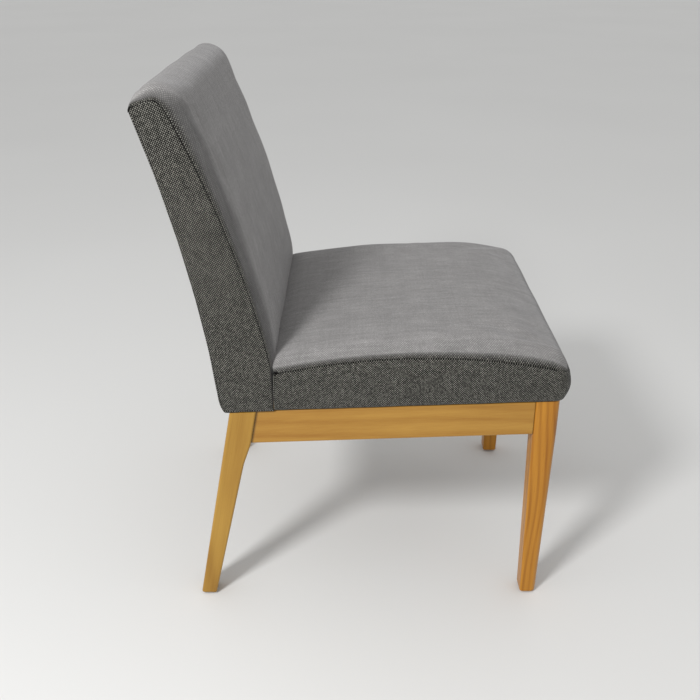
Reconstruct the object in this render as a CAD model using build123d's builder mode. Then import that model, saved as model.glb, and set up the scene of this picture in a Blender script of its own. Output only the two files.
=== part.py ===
from build123d import *
import os
from math import cos, hypot, radians, sin, sqrt, tan

# Upholstered guest chair: a doweled timber base carries a plywood seat board, on which a curved
# back frame stands, and both are padded with foam and dressed in sewn fabric panels.
# Millimetres. Front is -Y, up is +Z, the sitter's left is +X, and the origin is on the floor
# under the middle of the chair.

# Set-out of the seat line, which is the top of the rails
FRONT_FACE_Y = -302.3  # front face of the front legs
SEAT_FRONT_HEIGHT = 371.0
SEAT_TILT = 2.1
BODY_WIDTH = 492.0  # over the upholstery
BASE_INSET = 5.5  # side rails inside the upholstery's sides

# Rails and their joints
RAIL_HEIGHT = 57.0
RAIL_THICKNESS = 24.0
RAIL_EASE = 3.0
RAIL_END_EASE = 2.0  # where a side rail meets the front leg
FRONT_RAIL_SETBACK = 6.0
REAR_RAIL_SETBACK = 2.0
DOWEL_DIAMETER = 8.0
DOWEL_LENGTH = 40.0
DOWEL_EDGE = 15.0  # from the rail's top or bottom to a dowel's middle
DOWEL_IN_LEG = 10.0  # of the front and rear rails' dowels
DOWEL_FIT = 0.15
DOWEL_END_GAP = 1.0

# Front legs
FRONT_LEG_WIDTH = 36.0
FRONT_LEG_DEPTH = 38.0
FRONT_FOOT_WIDTH = 32.0
FRONT_FOOT_DEPTH = 26.5
FRONT_LEG_CORNER = 10.0  # rounded outer front corner
SQUARE_BELOW_RAIL = 4.0  # untapered leg under the rail
FOOT_CHAMFER = 1.5

# Rear legs
REAR_LEG_INSET = 13.0  # their back in front of the back's rear, along the seat line
REAR_LEG_WIDTH = 32.0
REAR_LEG_DEPTH = 40.0
REAR_LEG_RAKE = 10.9
REAR_LEG_PROUD = 3.5  # beyond the side rail
REAR_FOOT_DEPTH = 24.5
WAIST_BELOW_RAIL = 2.0
WAIST_STEP = 5.5
WAIST_LENGTH = 38.0
WAIST_RADIUS = 60.0
LEG_EASE = 3.5

# Glides
GLIDE_HEIGHT = 3.0
GLIDE_DIAMETER = 20.0
GLIDE_EDGE = 0.8
NAIL_DIAMETER = 2.6
NAIL_LENGTH = 14.0
NAIL_FIT = 0.1

# Corner blocks and the bolts that hold the upholstered body
BLOCK_HEIGHT = 40.0
BLOCK_WIDTH = 30.0
BLOCK_LEG_GAP = 6.0
BLOCK_SCREW_DIAMETER = 4.5
SCREW_HEAD_DIAMETER = 9.0
SCREW_HEAD_HEIGHT = 3.0
SCREW_RECESS = 5.0  # seat of a screw's head below the block's face
SCREW_TIP_COVER = 5.0  # wood left in front of a screw's tip
SCREW_FIT = 0.2
BOLT_DIAMETER = 6.0
BOLT_HOLE_FIT = 0.5
BOLT_HEAD_DIAMETER = 10.0
BOLT_HEAD_HEIGHT = 6.0
BOLT_TIP_GAP = 2.5
WASHER_DIAMETER = 18.0
WASHER_THICKNESS = 1.5
TEE_FLANGE_DIAMETER = 19.0
TEE_FLANGE_THICKNESS = 1.5
TEE_BARREL_DIAMETER = 8.4
TEE_BARREL_LENGTH = 11.0
TEE_FIT = 0.2

# Seat cushion, measured from the seat line
COVER = 1.5  # fabric with its backing
FOAM_GAP = 0.3
SEAT_DEPTH = 430.0  # front legs' face to the seam at the back
SEAT_OVERHANG = 12.5
SEAT_TUCK = 7.0  # how far the front draws in at the bottom
SEAT_FRONT_BULGE = 32.0  # height of the front's fullest line
SEAM_REAR = 67.5
SEAM_MIDDLE = 82.5
SEAM_FRONT = 50.0
SHOULDER = 20.0  # roundness of the padding above the seam
SEAT_FRONT_ROLL = 10.0
SEAT_CROWN = 5.0
FLANGE = 26.0  # fabric turned under the board
BOARD_THICKNESS = 15.0
BOARD_FRONT = 4.0
BOARD_PADDING = 5.5
BOARD_CORNER = 18.0
DUST_COVER = 0.8
DUST_COVER_GAP = 1.0

# Back, set out along its rear curve
BACK_BASE_THICKNESS = 88.0  # at the seat line
BACK_LEAN = 3.5
BACK_RADIUS = 2200.0
BACK_LENGTH = 460.0
BACK_MIDDLE_THICKNESS = 76.0
BACK_TOP_THICKNESS = 45.0
BACK_TOP_ROLL = 25.0
BACK_SHOULDER = 22.0  # roundness of the padding beside the gussets
BACK_REAR_CORNER = 12.0  # roundness at the bottom of the outside back
BACK_REAR_EASE = 7.0  # roundness of the other edges of the outside back
BACK_CROWN = 5.0
BACK_SWELL_MIDDLE = 13.0  # fullness of the inside back at half its height
POST_WIDTH = 22.0
POST_DEPTH = 25.0
POST_PADDING = 5.5
POST_TOP_PADDING = 24.0
BACK_RAIL_HEIGHT = 45.0
PANEL_THICKNESS = 3.0
PANEL_GAP = 0.2
WEB_WIDTH = 50.0
WEB_THICKNESS = 1.5
WEB_COUNT = 5
WEB_EDGE = 5.0  # of the end straps, inside the frame's height
BRACKET_THICKNESS = 4.0
BRACKET_WIDTH = 18.0
BRACKET_HEIGHT = 80.0
BRACKET_FOOT = 45.0
BRACKET_BEND = 3.0
BRACKET_RAIL_GAP = 8.0
BRACKET_SCREW_COUNT = 2  # in each leg of a bracket
BRACKET_SCREW_DIAMETER = 5.0
BRACKET_SCREW_EDGE = 12.0  # from the bracket's end to the outer screw
BRACKET_SCREW_PITCH = 16.0

# Cutting solids and the picking of edges
CUT_MARGIN = 4.0
CURVE_MATCH = 0.15

# Worked-out sizes
tilt = radians(SEAT_TILT)
rake = radians(REAR_LEG_RAKE)
rear_lean = tilt + rake  # of the rear legs against the seat line
along_seat = Vector(0, cos(tilt), -sin(tilt))
above_seat = Vector(0, sin(tilt), cos(tilt))
seat_origin = Vector(0, FRONT_FACE_Y, SEAT_FRONT_HEIGHT)
back_rear = SEAT_DEPTH + BACK_BASE_THICKNESS
rear_leg_reach = back_rear - REAR_LEG_INSET
rear_leg_top = seat_origin + along_seat * rear_leg_reach
board_top = COVER + BOARD_THICKNESS
board_rear = back_rear - COVER - BOARD_PADDING
body_half = BODY_WIDTH / 2
board_half = body_half - COVER - BOARD_PADDING
base_half = body_half - BASE_INSET
rail_inner = base_half - RAIL_THICKNESS
front_leg_inner = base_half - FRONT_LEG_WIDTH
front_leg_back = FRONT_FACE_Y + FRONT_LEG_DEPTH
rear_leg_outer = base_half + REAR_LEG_PROUD
rear_leg_inner = rear_leg_outer - REAR_LEG_WIDTH
rear_leg_front = rear_leg_reach - REAR_LEG_DEPTH / cos(rear_lean)
front_rail_back = FRONT_RAIL_SETBACK + RAIL_THICKNESS
rear_rail_back = rear_leg_reach - REAR_RAIL_SETBACK
rear_rail_front = rear_rail_back - RAIL_THICKNESS
flange_inner = body_half - FLANGE
flange_front = FLANGE - SEAT_OVERHANG + SEAT_TUCK
flange_rear = back_rear - FLANGE
post_outer = body_half - COVER - POST_PADDING
post_inner = post_outer - POST_WIDTH
post_rear = COVER + PANEL_GAP + PANEL_THICKNESS
post_front = post_rear + POST_DEPTH
post_length = BACK_LENGTH - POST_TOP_PADDING
bottom_rail_low = board_top + BRACKET_HEIGHT + BRACKET_RAIL_GAP
top_rail_low = post_length - BACK_RAIL_HEIGHT
web_front = post_front + WEB_THICKNESS
web_first = bottom_rail_low + WEB_EDGE
web_pitch = (post_length - WEB_EDGE - WEB_WIDTH - web_first) / (WEB_COUNT - 1)
above_back = BACK_LENGTH + BACK_SHOULDER + BACK_TOP_ROLL  # clear of the back's top

# Planes on the seat line: seen from above, from the sitter's left and from the front
SEAT = Plane(origin=seat_origin, x_dir=(1, 0, 0), z_dir=above_seat)
SIDE = Plane(origin=seat_origin, x_dir=along_seat, z_dir=(1, 0, 0))
FRONT = Plane(origin=seat_origin, x_dir=(1, 0, 0), z_dir=along_seat * -1)
FRONT_JOINT = Plane(origin=(0, front_leg_back, 0), z_dir=(0, 1, 0))
REAR_LEG = Plane(
    origin=rear_leg_top, x_dir=(0, -cos(rake), -sin(rake)), z_dir=(-1, 0, 0)
)
REAR_JOINT = Plane(
    origin=seat_origin + along_seat * rear_leg_front, z_dir=(0, -cos(rake), -sin(rake))
)

os.makedirs("parts", exist_ok=True)


def save(name, builder):
    builder.part.label = name
    export_step(builder.part, f"parts/{name}.step")


def pins(places, diameter, spare=0.0):
    """Round pins, each given by a plane, a point on it and a length along its normal."""
    with BuildPart() as run:
        for plane, point, length in places:
            with BuildSketch(plane.offset(-spare)):
                with Locations(point):
                    Circle(diameter / 2)
            extrude(amount=length + 2 * spare)
    return run.part


def flipped(plane):
    return Plane(plane.origin, plane.x_dir * -1, plane.z_dir * -1)


# Dowels: two in each end of each rail
dowel_heights = (-DOWEL_EDGE, DOWEL_EDGE - RAIL_HEIGHT)
side_rail_middle = base_half - RAIL_THICKNESS / 2
front_joint = FRONT_LEG_DEPTH / cos(tilt)
rear_joint = rear_leg_front + tan(rear_lean) * RAIL_HEIGHT / 2
dowel_places = []
for height in dowel_heights:
    for joint in (front_joint, rear_joint):
        start = FRONT.offset(-joint - DOWEL_LENGTH / 2)
        for side in (side_rail_middle, -side_rail_middle):
            dowel_places.append((start, (side, height), DOWEL_LENGTH))
    for rail_back, leg_inner in ((front_rail_back, front_leg_inner), (rear_rail_back, rear_leg_inner)):
        point = (rail_back - RAIL_THICKNESS / 2, height)
        reach = leg_inner + DOWEL_IN_LEG
        dowel_places.append((SIDE.offset(reach - DOWEL_LENGTH), point, DOWEL_LENGTH))
        dowel_places.append((SIDE.offset(-reach), point, DOWEL_LENGTH))
dowel_holes = pins(dowel_places, DOWEL_DIAMETER + 2 * DOWEL_FIT, DOWEL_END_GAP)

with BuildPart() as rail_dowels:
    add(pins(dowel_places, DOWEL_DIAMETER))
save("rail_dowels", rail_dowels)

# Glides: a nylon disc with a nail, under the middle of each foot
front_foot = (base_half - FRONT_FOOT_WIDTH / 2, FRONT_FACE_Y + FRONT_LEG_DEPTH / 2)
rear_foot_back = rear_leg_top.Y + (rear_leg_top.Z - GLIDE_HEIGHT) * tan(rake)
rear_foot = (
    rear_leg_outer - REAR_LEG_WIDTH / 2,
    rear_foot_back - REAR_FOOT_DEPTH / cos(rake) / 2,
)
feet = [(side * x, y) for x, y in (front_foot, rear_foot) for side in (1, -1)]
nail_places = [(Plane.XY.offset(GLIDE_HEIGHT), foot, NAIL_LENGTH) for foot in feet]
nail_holes = pins(nail_places, NAIL_DIAMETER + 2 * NAIL_FIT, DOWEL_END_GAP)

with BuildPart() as foot_glides:
    with BuildSketch():
        with Locations(*feet):
            Circle(GLIDE_DIAMETER / 2)
    extrude(amount=GLIDE_HEIGHT)
    chamfer(foot_glides.faces().group_by(Axis.Z)[0].edges(), GLIDE_EDGE)
    add(pins(nail_places, NAIL_DIAMETER))
save("foot_glides", foot_glides)


# Front legs: square behind the rails, then tapered on all but the outer face
def front_leg_section(height, width, depth):
    middle = (base_half - width / 2, FRONT_FACE_Y + FRONT_LEG_DEPTH / 2)
    with BuildSketch(Plane.XY.offset(height)) as section:
        with Locations(middle):
            Rectangle(width, depth)
        corners = section.vertices().sort_by(Axis.X)
        fillet(corners[:2] + [corners[2:].sort_by(Axis.Y)[-1]], LEG_EASE)
        outer_front = section.vertices().sort_by(Axis.X)[-2:].sort_by(Axis.Y)[0]
        fillet(outer_front, FRONT_LEG_CORNER)
    return section.sketch


taper_start = SEAT_FRONT_HEIGHT - front_rail_back * sin(tilt) - RAIL_HEIGHT - SQUARE_BELOW_RAIL

with BuildPart() as front_leg_left:
    loft(
        sections=[
            front_leg_section(GLIDE_HEIGHT, FRONT_FOOT_WIDTH, FRONT_FOOT_DEPTH),
            front_leg_section(taper_start, FRONT_LEG_WIDTH, FRONT_LEG_DEPTH),
            front_leg_section(SEAT_FRONT_HEIGHT, FRONT_LEG_WIDTH, FRONT_LEG_DEPTH),
        ],
        ruled=True,
    )
    split(bisect_by=SEAT, keep=Keep.BOTTOM)
    chamfer(front_leg_left.faces().sort_by(Axis.Z)[0].edges(), FOOT_CHAMFER)
    add([dowel_holes, nail_holes], mode=Mode.SUBTRACT)
save("front_leg_left", front_leg_left)

with BuildPart() as front_leg_right:
    mirror(front_leg_left.part, about=Plane.YZ)
save("front_leg_right", front_leg_right)

# Rear legs: raked, sawn with a waist under the rail, cut level at the floor and along the seat line
rear_leg_length = rear_leg_top.Z / cos(rake)
waist_top = REAR_LEG_DEPTH * tan(rear_lean) - RAIL_HEIGHT / cos(rear_lean) - WAIST_BELOW_RAIL

with BuildPart() as rear_leg_left:
    with BuildSketch(REAR_LEG.offset(-rear_leg_outer)) as rear_leg_outline:
        with BuildLine():
            Polyline(
                (0, REAR_LEG_DEPTH),
                (REAR_LEG_DEPTH, REAR_LEG_DEPTH),
                (REAR_LEG_DEPTH, waist_top),
                (REAR_LEG_DEPTH - WAIST_STEP, waist_top - WAIST_LENGTH),
                (REAR_FOOT_DEPTH, -rear_leg_length),
                (0, -rear_leg_length),
                close=True,
            )
        make_face()
        fillet(rear_leg_outline.vertices().sort_by(Axis.Y)[2:4], WAIST_RADIUS)
    extrude(amount=REAR_LEG_WIDTH)
    split(bisect_by=Plane.XY.offset(GLIDE_HEIGHT), keep=Keep.TOP)
    fillet(rear_leg_left.edges().sort_by(Axis.Z)[:-4], LEG_EASE)
    split(bisect_by=SEAT, keep=Keep.BOTTOM)
    add([dowel_holes, nail_holes], mode=Mode.SUBTRACT)
save("rear_leg_left", rear_leg_left)

with BuildPart() as rear_leg_right:
    mirror(rear_leg_left.part, about=Plane.YZ)
save("rear_leg_right", rear_leg_right)


# Corner blocks: braces at 45 degrees, clear of the legs, screwed to both rails.
# Each is set out from the corner where the two rails' inner faces would meet, by the distances
# along the rails from there to its near and far sides.
def block_row(end, rail, leg_inner, leg_face, inward):
    near = rail_inner - leg_inner + abs(leg_face - rail) + BLOCK_LEG_GAP * sqrt(2)
    far = near + BLOCK_WIDTH * sqrt(2)
    return end, rail, near, far, inward


block_rows = [
    block_row("front", front_rail_back, front_leg_inner, front_joint, 1),
    block_row("rear", rear_rail_front, rear_leg_inner, rear_leg_front, -1),
]
screw_height = -BLOCK_HEIGHT / 2
screw_grip = BLOCK_WIDTH / sqrt(2) - SCREW_RECESS  # from the rail's face to the screw's head
screw_length = screw_grip + RAIL_THICKNESS - SCREW_TIP_COVER
screw_places = []
head_places = []
pocket_places = []
bolt_points = []
for end, rail, near, far, inward in block_rows:
    middle = (near + far) / 2
    cross_face = FRONT.offset(-rail)
    cross_face = cross_face if inward > 0 else flipped(cross_face)
    for side in (1, -1):
        bolt_points.append((side * (rail_inner - middle / 2), rail + inward * middle / 2))
        side_face = SIDE.offset(side * rail_inner)
        side_face = side_face if side > 0 else flipped(side_face)
        in_side_rail = (side * (rail + inward * middle), screw_height)
        in_cross_rail = (inward * side * (rail_inner - middle), screw_height)
        for face, point in ((side_face, in_side_rail), (cross_face, in_cross_rail)):
            screw_places.append((face.offset(-screw_grip), point, screw_length))
            head_places.append((face.offset(-screw_grip - SCREW_HEAD_HEIGHT), point, SCREW_HEAD_HEIGHT))
            pocket_places.append((face.offset(-screw_grip - BLOCK_WIDTH), point, BLOCK_WIDTH))
screw_holes = pins(screw_places, BLOCK_SCREW_DIAMETER + 2 * SCREW_FIT, SCREW_FIT)
screw_pockets = pins(pocket_places, SCREW_HEAD_DIAMETER + 2 * SCREW_FIT)


def along_bolts(low, length):
    return [(SEAT.offset(low), point, length) for point in bolt_points]


bolt_holes = pins(along_bolts(-BLOCK_HEIGHT, BLOCK_HEIGHT), BOLT_DIAMETER + 2 * BOLT_HOLE_FIT, CUT_MARGIN)

# Side rails: eased along their length and at the front leg, and cut to both legs
with BuildPart() as side_rail_left:
    with BuildSketch(SIDE.offset(rail_inner)):
        Rectangle(rear_leg_reach, RAIL_HEIGHT, align=(Align.MIN, Align.MAX))
    extrude(amount=RAIL_THICKNESS)
    fillet(side_rail_left.edges().filter_by(Axis(seat_origin, along_seat)), RAIL_EASE)
    split(bisect_by=FRONT_JOINT, keep=Keep.TOP)
    fillet(side_rail_left.faces().sort_by(Axis.Y)[0].edges(), RAIL_END_EASE)
    split(bisect_by=REAR_JOINT, keep=Keep.TOP)
    add([dowel_holes, screw_holes], mode=Mode.SUBTRACT)
save("side_rail_left", side_rail_left)

with BuildPart() as side_rail_right:
    mirror(side_rail_left.part, about=Plane.YZ)
save("side_rail_right", side_rail_right)

# Front and rear rails between the legs
for name, face, half_length in (
    ("front_rail", FRONT_RAIL_SETBACK, front_leg_inner),
    ("rear_rail", rear_rail_front, rear_leg_inner),
):
    with BuildPart() as cross_rail:
        with BuildSketch(FRONT.offset(-face)):
            Rectangle(2 * half_length, RAIL_HEIGHT, align=(Align.CENTER, Align.MAX))
        extrude(amount=-RAIL_THICKNESS)
        fillet(cross_rail.edges().filter_by(Axis.X), RAIL_EASE)
        add([dowel_holes, screw_holes], mode=Mode.SUBTRACT)
    save(name, cross_rail)

for end, rail, near, far, inward in block_rows:
    with BuildPart() as corner_block_left:
        with BuildSketch(SEAT):
            with BuildLine():
                Polyline(
                    (rail_inner - near, rail),
                    (rail_inner, rail + inward * near),
                    (rail_inner, rail + inward * far),
                    (rail_inner - far, rail),
                    close=True,
                )
            make_face()
        extrude(amount=-BLOCK_HEIGHT)
        add([screw_holes, screw_pockets, bolt_holes], mode=Mode.SUBTRACT)
    save(f"corner_block_{end}_left", corner_block_left)
    with BuildPart() as corner_block_right:
        mirror(corner_block_left.part, about=Plane.YZ)
    save(f"corner_block_{end}_right", corner_block_right)

with BuildPart() as corner_block_screws:
    add(pins(screw_places, BLOCK_SCREW_DIAMETER))
    add(pins(head_places, SCREW_HEAD_DIAMETER))
save("corner_block_screws", corner_block_screws)

# Bolts through the blocks into tee nuts in the seat board
bolt_seat = -BLOCK_HEIGHT - WASHER_THICKNESS
bolt_length = board_top - BOLT_TIP_GAP - bolt_seat
tee_flanges = along_bolts(board_top - TEE_FLANGE_THICKNESS, TEE_FLANGE_THICKNESS)
tee_barrels = along_bolts(board_top - TEE_BARREL_LENGTH, TEE_BARREL_LENGTH)

with BuildPart() as base_washers:
    with BuildSketch(SEAT.offset(bolt_seat)):
        with Locations(*bolt_points):
            Circle(WASHER_DIAMETER / 2)
            Circle(BOLT_DIAMETER / 2 + BOLT_HOLE_FIT, mode=Mode.SUBTRACT)
    extrude(amount=WASHER_THICKNESS)
save("base_washers", base_washers)

with BuildPart() as base_bolts:
    add(pins(along_bolts(bolt_seat, bolt_length), BOLT_DIAMETER))
    add(pins(along_bolts(bolt_seat - BOLT_HEAD_HEIGHT, BOLT_HEAD_HEIGHT), BOLT_HEAD_DIAMETER))
save("base_bolts", base_bolts)

with BuildPart() as tee_nuts:
    add(pins(tee_flanges, TEE_FLANGE_DIAMETER))
    add(pins(tee_barrels, TEE_BARREL_DIAMETER))
    add(pins(tee_barrels, BOLT_DIAMETER + 2 * TEE_FIT, TEE_FIT), mode=Mode.SUBTRACT)
save("tee_nuts", tee_nuts)


# The back is set out on a circle: a height along its rear curve and a depth in front of it
def back_point(height, depth):
    lean = radians(BACK_LEAN)
    turn = lean + height / BACK_RADIUS
    reach = BACK_RADIUS + depth
    along = back_rear + BACK_RADIUS * cos(lean) - reach * cos(turn)
    above = reach * sin(turn) - BACK_RADIUS * sin(lean)
    return along, above


def back_depth(shape):
    """Depth of a shape's middle in front of the rear curve."""
    spot = SIDE.to_local_coords(shape.center())
    lean = radians(BACK_LEAN)
    along = back_rear + BACK_RADIUS * cos(lean) - spot.X
    above = spot.Y + BACK_RADIUS * sin(lean)
    return hypot(along, above) - BACK_RADIUS


def back_band(low, high, rear, front, x=0.0):
    """Side outline between two heights and two depths of the back."""
    half_way = (low + high) / 2
    with BuildSketch(SIDE.offset(x)) as outline:
        with BuildLine():
            Line(back_point(low, rear), back_point(low, front))
            ThreePointArc(back_point(low, front), back_point(half_way, front), back_point(high, front))
            Line(back_point(high, front), back_point(high, rear))
            ThreePointArc(back_point(high, rear), back_point(half_way, rear), back_point(low, rear))
        make_face()
    return outline.sketch


# Screws of the back's brackets, into the posts and into the board
bracket_middle = back_point(board_top + BRACKET_HEIGHT / 2, (post_rear + post_front) / 2)[0]
bracket_grip = BRACKET_THICKNESS + BOARD_THICKNESS - SCREW_TIP_COVER
board_face = flipped(SEAT.offset(board_top + BRACKET_THICKNESS))
post_screw_places = []
board_screw_places = []
bracket_head_places = []
for order in range(BRACKET_SCREW_COUNT):
    inset = BRACKET_SCREW_EDGE + order * BRACKET_SCREW_PITCH
    height = board_top + BRACKET_HEIGHT - inset
    across = post_inner - BRACKET_FOOT + inset
    for side in (1, -1):
        post_face = SIDE.offset(side * (post_inner - BRACKET_THICKNESS))
        post_face = post_face if side > 0 else flipped(post_face)
        in_post = (side * bracket_middle, height)
        in_board = (-side * across, bracket_middle)
        post_screw_places.append((post_face, in_post, bracket_grip))
        board_screw_places.append((board_face, in_board, bracket_grip))
        for face, point in ((post_face, in_post), (board_face, in_board)):
            bracket_head_places.append((face.offset(-SCREW_HEAD_HEIGHT), point, SCREW_HEAD_HEIGHT))
post_screw_holes = pins(post_screw_places, BRACKET_SCREW_DIAMETER + 2 * SCREW_FIT, SCREW_FIT)
board_screw_holes = pins(board_screw_places, BRACKET_SCREW_DIAMETER + 2 * SCREW_FIT, SCREW_FIT)


# Padded forms: side outlines are lofted across a slight crown, then the shoulders are rounded.
# The inset form of each is the inside of the cover, or the foam.
def crowned(half, crown):
    return (-half, 0), (0, crown), (half, 0)


def seat_section(x, crown, inset):
    front = inset - SEAT_OVERHANG
    fullness = SHOULDER - inset
    with BuildSketch(SIDE.offset(x)) as section:
        with BuildLine():
            low_front = (front + SEAT_TUCK, inset)
            low_rear = (SEAT_DEPTH, inset)
            high_rear = (SEAT_DEPTH, SEAM_REAR + fullness)
            high_front = (front, SEAM_FRONT + fullness)
            Line(low_front, low_rear)
            Line(low_rear, high_rear)
            ThreePointArc(high_rear, (SEAT_DEPTH / 2, SEAM_MIDDLE + fullness + crown), high_front)
            ThreePointArc(high_front, (front, SEAT_FRONT_BULGE), low_front)
        make_face()
        corner = section.vertices().sort_by(Axis.X)[:2].sort_by(Axis.Y)[-1]
        fillet(corner, SEAT_FRONT_ROLL + fullness)
    return section.sketch


def seat_form(inset):
    stations = crowned(body_half - inset, SEAT_CROWN)
    with BuildPart() as form:
        loft(sections=[seat_section(x, crown, inset) for x, crown in stations])
        for end in (0, -1):
            rim = form.faces().filter_by(Axis.X).sort_by(Axis.X)[end].edges()
            middles = [SIDE.to_local_coords(edge.center()) for edge in rim]
            padded = [
                edge
                for edge, spot in zip(rim, middles)
                if spot.Y > inset + CUT_MARGIN and spot.X < SEAT_DEPTH - CUT_MARGIN
            ]
            fillet(padded, SHOULDER - inset)
    return form.part


def back_section(x, crown, inset):
    fullness = BACK_SHOULDER + crown - inset
    top = BACK_LENGTH + fullness
    middle_depth = BACK_MIDDLE_THICKNESS + BACK_SWELL_MIDDLE + crown - inset
    with BuildSketch(SIDE.offset(x)) as section:
        with BuildLine():
            low_rear = (back_rear - inset, inset)
            low_front = (SEAT_DEPTH + inset, inset)
            crease = (SEAT_DEPTH + inset, SEAM_REAR + SHOULDER)
            high_front = back_point(top, BACK_TOP_THICKNESS + fullness)
            high_rear = back_point(top, inset)
            Line(low_rear, low_front)
            Line(low_front, crease)
            ThreePointArc(crease, back_point(BACK_LENGTH / 2, middle_depth), high_front)
            Line(high_front, high_rear)
            ThreePointArc(high_rear, back_point(top / 2, inset), low_rear)
        make_face()
        fillet(section.vertices().sort_by(Axis.Y)[-1], BACK_TOP_ROLL + fullness)
        low_corner = section.vertices().sort_by(Axis.Y)[:2].sort_by(Axis.X)[-1]
        fillet(low_corner, BACK_REAR_CORNER - inset)
    return section.sketch


def back_form(inset):
    stations = crowned(body_half - inset, BACK_CROWN)
    with BuildPart() as form:
        loft(sections=[back_section(x, crown, inset) for x, crown in stations])
        for end in (0, -1):
            rim = form.faces().filter_by(Axis.X).sort_by(Axis.X)[end].edges()
            padded = [
                edge
                for edge in rim
                if SIDE.to_local_coords(edge.center()).Y > SEAM_REAR + SHOULDER
                and back_depth(edge) > inset + CUT_MARGIN
            ]
            fillet(padded, BACK_SHOULDER - inset)
        rear_rim = [
            edge
            for edge in form.edges()
            if abs(back_depth(edge) - inset) < CURVE_MATCH
            and SIDE.to_local_coords(edge.center()).Y > SEAM_REAR
        ]
        fillet(rear_rim, BACK_REAR_EASE - inset)
    return form.part


seat_outside = seat_form(0)
seat_inside = seat_form(COVER)
back_outside = back_form(0)
back_inside = back_form(COVER)

# Seat board: plywood under the whole body, with recessed tee nuts
with BuildPart() as board_blank:
    with BuildSketch(SEAT.offset(COVER)) as board_plan:
        with Locations((0, BOARD_FRONT)):
            Rectangle(2 * board_half, board_rear - BOARD_FRONT, align=(Align.CENTER, Align.MIN))
        fillet(board_plan.vertices().sort_by(Axis.Y)[:2], BOARD_CORNER)
    extrude(amount=BOARD_THICKNESS)
    rear_edges = board_blank.edges().filter_by(Axis.X).sort_by(Axis.Y)[-2:]
    fillet(rear_edges.sort_by(Axis.Z)[0], BACK_REAR_CORNER - COVER)

with BuildPart() as seat_board:
    add(board_blank.part)
    tee_holes = along_bolts(COVER, BOARD_THICKNESS)
    add(pins(tee_holes, TEE_BARREL_DIAMETER + 2 * TEE_FIT, TEE_FIT), mode=Mode.SUBTRACT)
    add(pins(tee_flanges, TEE_FLANGE_DIAMETER + 2 * TEE_FIT), mode=Mode.SUBTRACT)
    add(board_screw_holes, mode=Mode.SUBTRACT)
save("seat_board", seat_board)

with BuildPart() as dust_cover:
    with BuildSketch(SEAT.offset(COVER - DUST_COVER)):
        with Locations((0, flange_front + DUST_COVER_GAP)):
            Rectangle(
                2 * (flange_inner - DUST_COVER_GAP),
                flange_rear - flange_front - 2 * DUST_COVER_GAP,
                align=(Align.CENTER, Align.MIN),
            )
        with Locations(*bolt_points):
            Circle(BOLT_DIAMETER / 2 + BOLT_HOLE_FIT, mode=Mode.SUBTRACT)
    extrude(amount=DUST_COVER)
save("dust_cover", dust_cover)

# Seat pad and its sewn cover: a crowned top panel over a boxing band that turns under the board
with BuildPart() as seat_foam:
    add(seat_form(COVER + FOAM_GAP))
    split(bisect_by=FRONT.offset(FOAM_GAP - SEAT_DEPTH), keep=Keep.TOP)
    add(board_blank.part, mode=Mode.SUBTRACT)
save("seat_foam", seat_foam)

with BuildPart() as under_seam:
    with BuildSketch(SIDE):
        with BuildLine():
            seam_front = (-SEAT_OVERHANG - CUT_MARGIN, SEAM_FRONT)
            seam_rear = (SEAT_DEPTH, SEAM_REAR)
            ThreePointArc(seam_front, (SEAT_DEPTH / 2, SEAM_MIDDLE), seam_rear)
            Polyline(seam_rear, (SEAT_DEPTH, -CUT_MARGIN), (seam_front[0], -CUT_MARGIN), seam_front)
        make_face()
    extrude(amount=BODY_WIDTH, both=True)

with BuildPart() as board_window:
    with BuildSketch(SEAT.offset(-COVER)):
        with Locations((0, flange_front)):
            Rectangle(2 * flange_inner, flange_rear - flange_front, align=(Align.CENTER, Align.MIN))
    extrude(amount=COVER + board_top)

with BuildPart() as seat_boxing:
    add(seat_outside)
    add(seat_inside, mode=Mode.SUBTRACT)
    add(under_seam.part, mode=Mode.INTERSECT)
    add(board_window.part, mode=Mode.SUBTRACT)
save("seat_boxing", seat_boxing)

with BuildPart() as seat_cover_top:
    add(seat_outside)
    add(seat_inside, mode=Mode.SUBTRACT)
    add(under_seam.part, mode=Mode.SUBTRACT)
save("seat_cover_top", seat_cover_top)

# Back frame: two curved posts and three rails, webbed in front and closed by hardboard behind
with BuildPart() as back_post_left:
    extrude(back_band(0, post_length, post_rear, post_front, post_inner), amount=POST_WIDTH)
    split(bisect_by=SEAT.offset(board_top), keep=Keep.TOP)
    add(post_screw_holes, mode=Mode.SUBTRACT)
save("back_post_left", back_post_left)

with BuildPart() as back_post_right:
    mirror(back_post_left.part, about=Plane.YZ)
save("back_post_right", back_post_right)

for name, low in (
    ("back_bottom_rail", bottom_rail_low),
    ("back_middle_rail", (bottom_rail_low + top_rail_low) / 2),
    ("back_top_rail", top_rail_low),
):
    with BuildPart() as back_rail:
        extrude(back_band(low, low + BACK_RAIL_HEIGHT, post_rear, post_front), amount=post_inner, both=True)
    save(name, back_rail)

with BuildPart() as back_webbing:
    for strap in range(WEB_COUNT):
        low = web_first + strap * web_pitch
        extrude(back_band(low, low + WEB_WIDTH, post_front, web_front), amount=post_outer, both=True)
save("back_webbing", back_webbing)

with BuildPart() as back_rear_panel:
    panel_band = back_band(board_top + CUT_MARGIN, post_length, COVER + PANEL_GAP, post_rear)
    extrude(panel_band, amount=post_outer, both=True)
save("back_rear_panel", back_rear_panel)

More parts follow.
